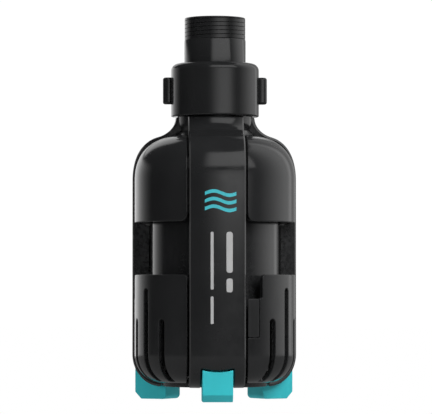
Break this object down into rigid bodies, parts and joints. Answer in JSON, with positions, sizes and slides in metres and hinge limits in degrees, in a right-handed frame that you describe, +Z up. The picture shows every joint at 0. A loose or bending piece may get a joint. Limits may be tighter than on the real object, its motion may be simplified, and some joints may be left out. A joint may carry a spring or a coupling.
{
  "type": "submersible in-line water pump",
  "caption": "Upright submersible centrifugal pump with a slotted strainer basket, armed outer frame, rubber feet, union nut and threaded outlet.",
  "frame": {"origin": "on the floor under the pump's axis, between the feet", "axes": "+Z up along the axis to the outlet, -Y towards the front arm, +X to the viewer's right"},
  "size_m": [0.0908, 0.0925, 0.2106],
  "materials": {
    "frame_plastic": "satin moulded",
    "shell_plastic": "satin moulded",
    "basket_plastic": "satin moulded",
    "latch_plastic": "satin moulded",
    "nut_plastic": "satin moulded",
    "nozzle_plastic": "satin moulded",
    "can_plastic": "satin moulded",
    "inner_plastic": "moulded",
    "foot_rubber": "soft matte teal",
    "seal_rubber": "matte",
    "white_plastic": "moulded",
    "laminations": "stacked sheet",
    "copper": "enamelled wire",
    "magnet": "sintered",
    "ceramic": "polished",
    "stainless": "bright",
    "board": "solder mask"
  },
  "bodies": {
    "root": {"outer_frame": "frame_plastic", "shoulder_shell": "shell_plastic", "motor_can": "can_plastic", "base_cap": "can_plastic", "base_o_ring": "seal_rubber", "stator_core": "laminations", "end_insulator_lower": "white_plastic", "end_insulator_upper": "white_plastic", "control_board": "board", "rotor_well": "white_plastic", "well_o_ring": "seal_rubber", "bearing_plate": "inner_plastic", "lower_bush": "ceramic", "upper_bush": "ceramic", "lower_bush_mount": "seal_rubber", "upper_bush_mount": "seal_rubber", "thrust_washer_lower": "ceramic", "thrust_washer_upper": "ceramic", "suction_ring": "inner_plastic", "diffuser": "inner_plastic", "union_o_ring": "seal_rubber", "outlet_nozzle": "nozzle_plastic", "cable_gland_body": "can_plastic", "cable_gland_nut": "can_plastic", "cable_gland_seal": "seal_rubber", "foot_front": "foot_rubber", "foot_right": "foot_rubber", "foot_left": "foot_rubber", "coil_1": "copper", "coil_2": "copper", "coil_3": "copper", "coil_4": "copper", "coil_5": "copper", "coil_6": "copper", "base_screw_1": "stainless", "casing_screw_1": "stainless", "bearing_screw_1": "stainless", "base_screw_2": "stainless", "casing_screw_2": "stainless", "bearing_screw_2": "stainless", "base_screw_3": "stainless", "casing_screw_3": "stainless", "bearing_screw_3": "stainless"},
    "rotor": {"shaft": "ceramic", "rotor_magnet": "magnet", "rotor_sleeve": "white_plastic", "impeller": "inner_plastic"},
    "basket": {"strainer_basket": "basket_plastic"},
    "slip_ring": {"slip_ring": "white_plastic"},
    "union_nut": {"union_nut": "nut_plastic"},
    "latch_front": {"latch_tab_front": "latch_plastic"},
    "latch_right": {"latch_tab_right": "latch_plastic"},
    "latch_left": {"latch_tab_left": "latch_plastic"}
  },
  "joints": [
    {"name": "rotor_spin", "type": "hinge", "parent": "root", "child": "rotor", "pos_m": [0, 0, 0.08], "axis": [0, 0, 1], "continuous": true},
    {"name": "union_lift", "type": "slide", "parent": "root", "child": "slip_ring", "axis": [0, 0, 1], "range_m": [0, 0.012]},
    {"name": "union_turn", "type": "hinge", "parent": "slip_ring", "child": "union_nut", "pos_m": [0, 0, 0.17], "axis": [0, 0, 1], "range_deg": [0, 1081]},
    {"name": "basket_slide", "type": "slide", "parent": "root", "child": "basket", "axis": [0, 0, 1], "range_m": [-0.062, 0]},
    {"name": "latch_press_front", "type": "hinge", "parent": "basket", "child": "latch_front", "pos_m": [0.01896, -0.03837, 0.0352], "axis": [-0.8965, -0.4431, 0], "range_deg": [0, 7], "stiffness_Nm_per_rad": 0.05},
    {"name": "latch_press_right", "type": "hinge", "parent": "basket", "child": "latch_right", "pos_m": [0.02375, 0.03561, 0.0352], "axis": [0.832, -0.5548, 0], "range_deg": [0, 7], "stiffness_Nm_per_rad": 0.05},
    {"name": "latch_press_left", "type": "hinge", "parent": "basket", "child": "latch_left", "pos_m": [-0.04271, 0.00276, 0.0352], "axis": [0.0645, 0.9979, 0], "range_deg": [0, 7], "stiffness_Nm_per_rad": 0.05}
  ],
  "couplings": [
    {"joint": "union_turn", "follows": "union_lift", "rad_per_m": 1570.8}
  ]
}
